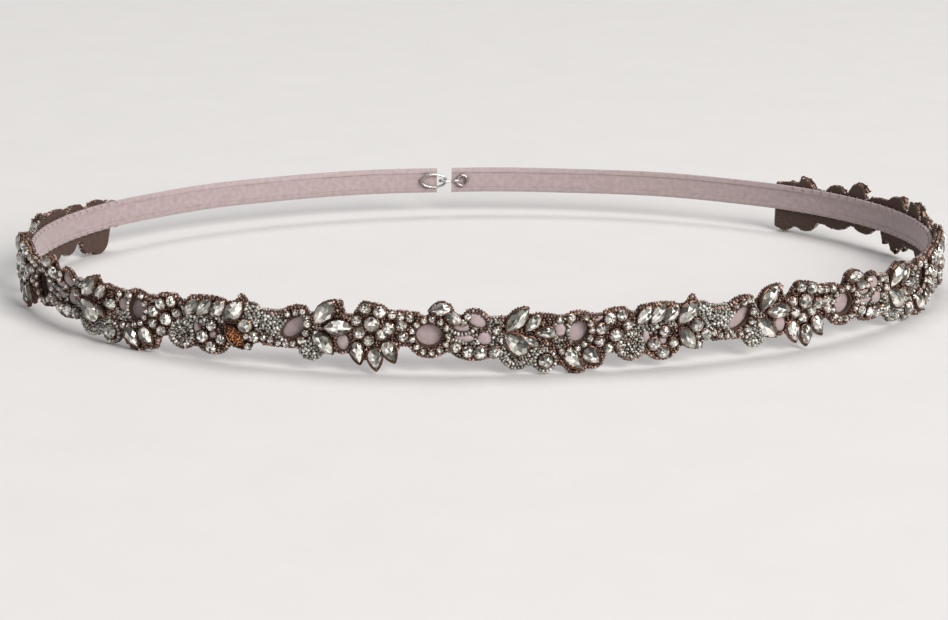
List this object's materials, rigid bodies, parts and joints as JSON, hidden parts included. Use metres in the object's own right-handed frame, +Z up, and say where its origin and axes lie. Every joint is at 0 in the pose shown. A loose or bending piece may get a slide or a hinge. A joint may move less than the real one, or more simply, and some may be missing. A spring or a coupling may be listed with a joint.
{
  "type": "bridal sash of crystal trim on a narrow satin tape, closed round the waist",
  "caption": "Narrow satin waist sash with a raised trim of clear crystals in rose metal settings round its front and sides, hooked together at the back.",
  "frame": {"origin": "middle of the waist opening, at the height of the tape's centre line", "axes": "+Z up the wearer's body, -Y to the wearer's front, where the camera is, +X to the wearer's left"},
  "size_m": [0.2754, 0.1861, 0.0198],
  "materials": {
    "satin": "satin",
    "backing_cloth": "matte",
    "crystal": "gloss",
    "rose_metal": "satin",
    "bead": "gloss",
    "wire": "satin"
  },
  "bodies": {
    "root": {"tape": "satin", "backing": "backing_cloth", "spray_1": "crystal", "flower_1": "crystal", "ring_1": "crystal", "frame_1": "crystal", "leaves_1": "crystal", "oval_1": "crystal", "rosette_1": "crystal", "branch_1": "crystal", "bow_1": "crystal", "spray_2": "crystal", "flower_2": "crystal", "ring_2": "crystal", "frame_2": "crystal", "leaves_2": "crystal", "oval_2": "crystal", "rosette_2": "crystal", "branch_2": "crystal", "bow_2": "crystal", "spray_3": "crystal", "flower_3": "crystal", "ring_3": "crystal", "frame_3": "crystal", "leaves_3": "crystal", "oval_3": "crystal", "rosette_3": "crystal", "branch_3": "crystal", "bow_3": "crystal", "spray_4": "crystal", "flower_4": "crystal", "ring_4": "crystal", "frame_4": "crystal", "leaves_4": "crystal", "oval_4": "crystal", "rosette_4": "crystal", "branch_4": "crystal", "bow_4": "crystal", "hook": "wire", "eye": "wire"}
  },
  "joints": []
}
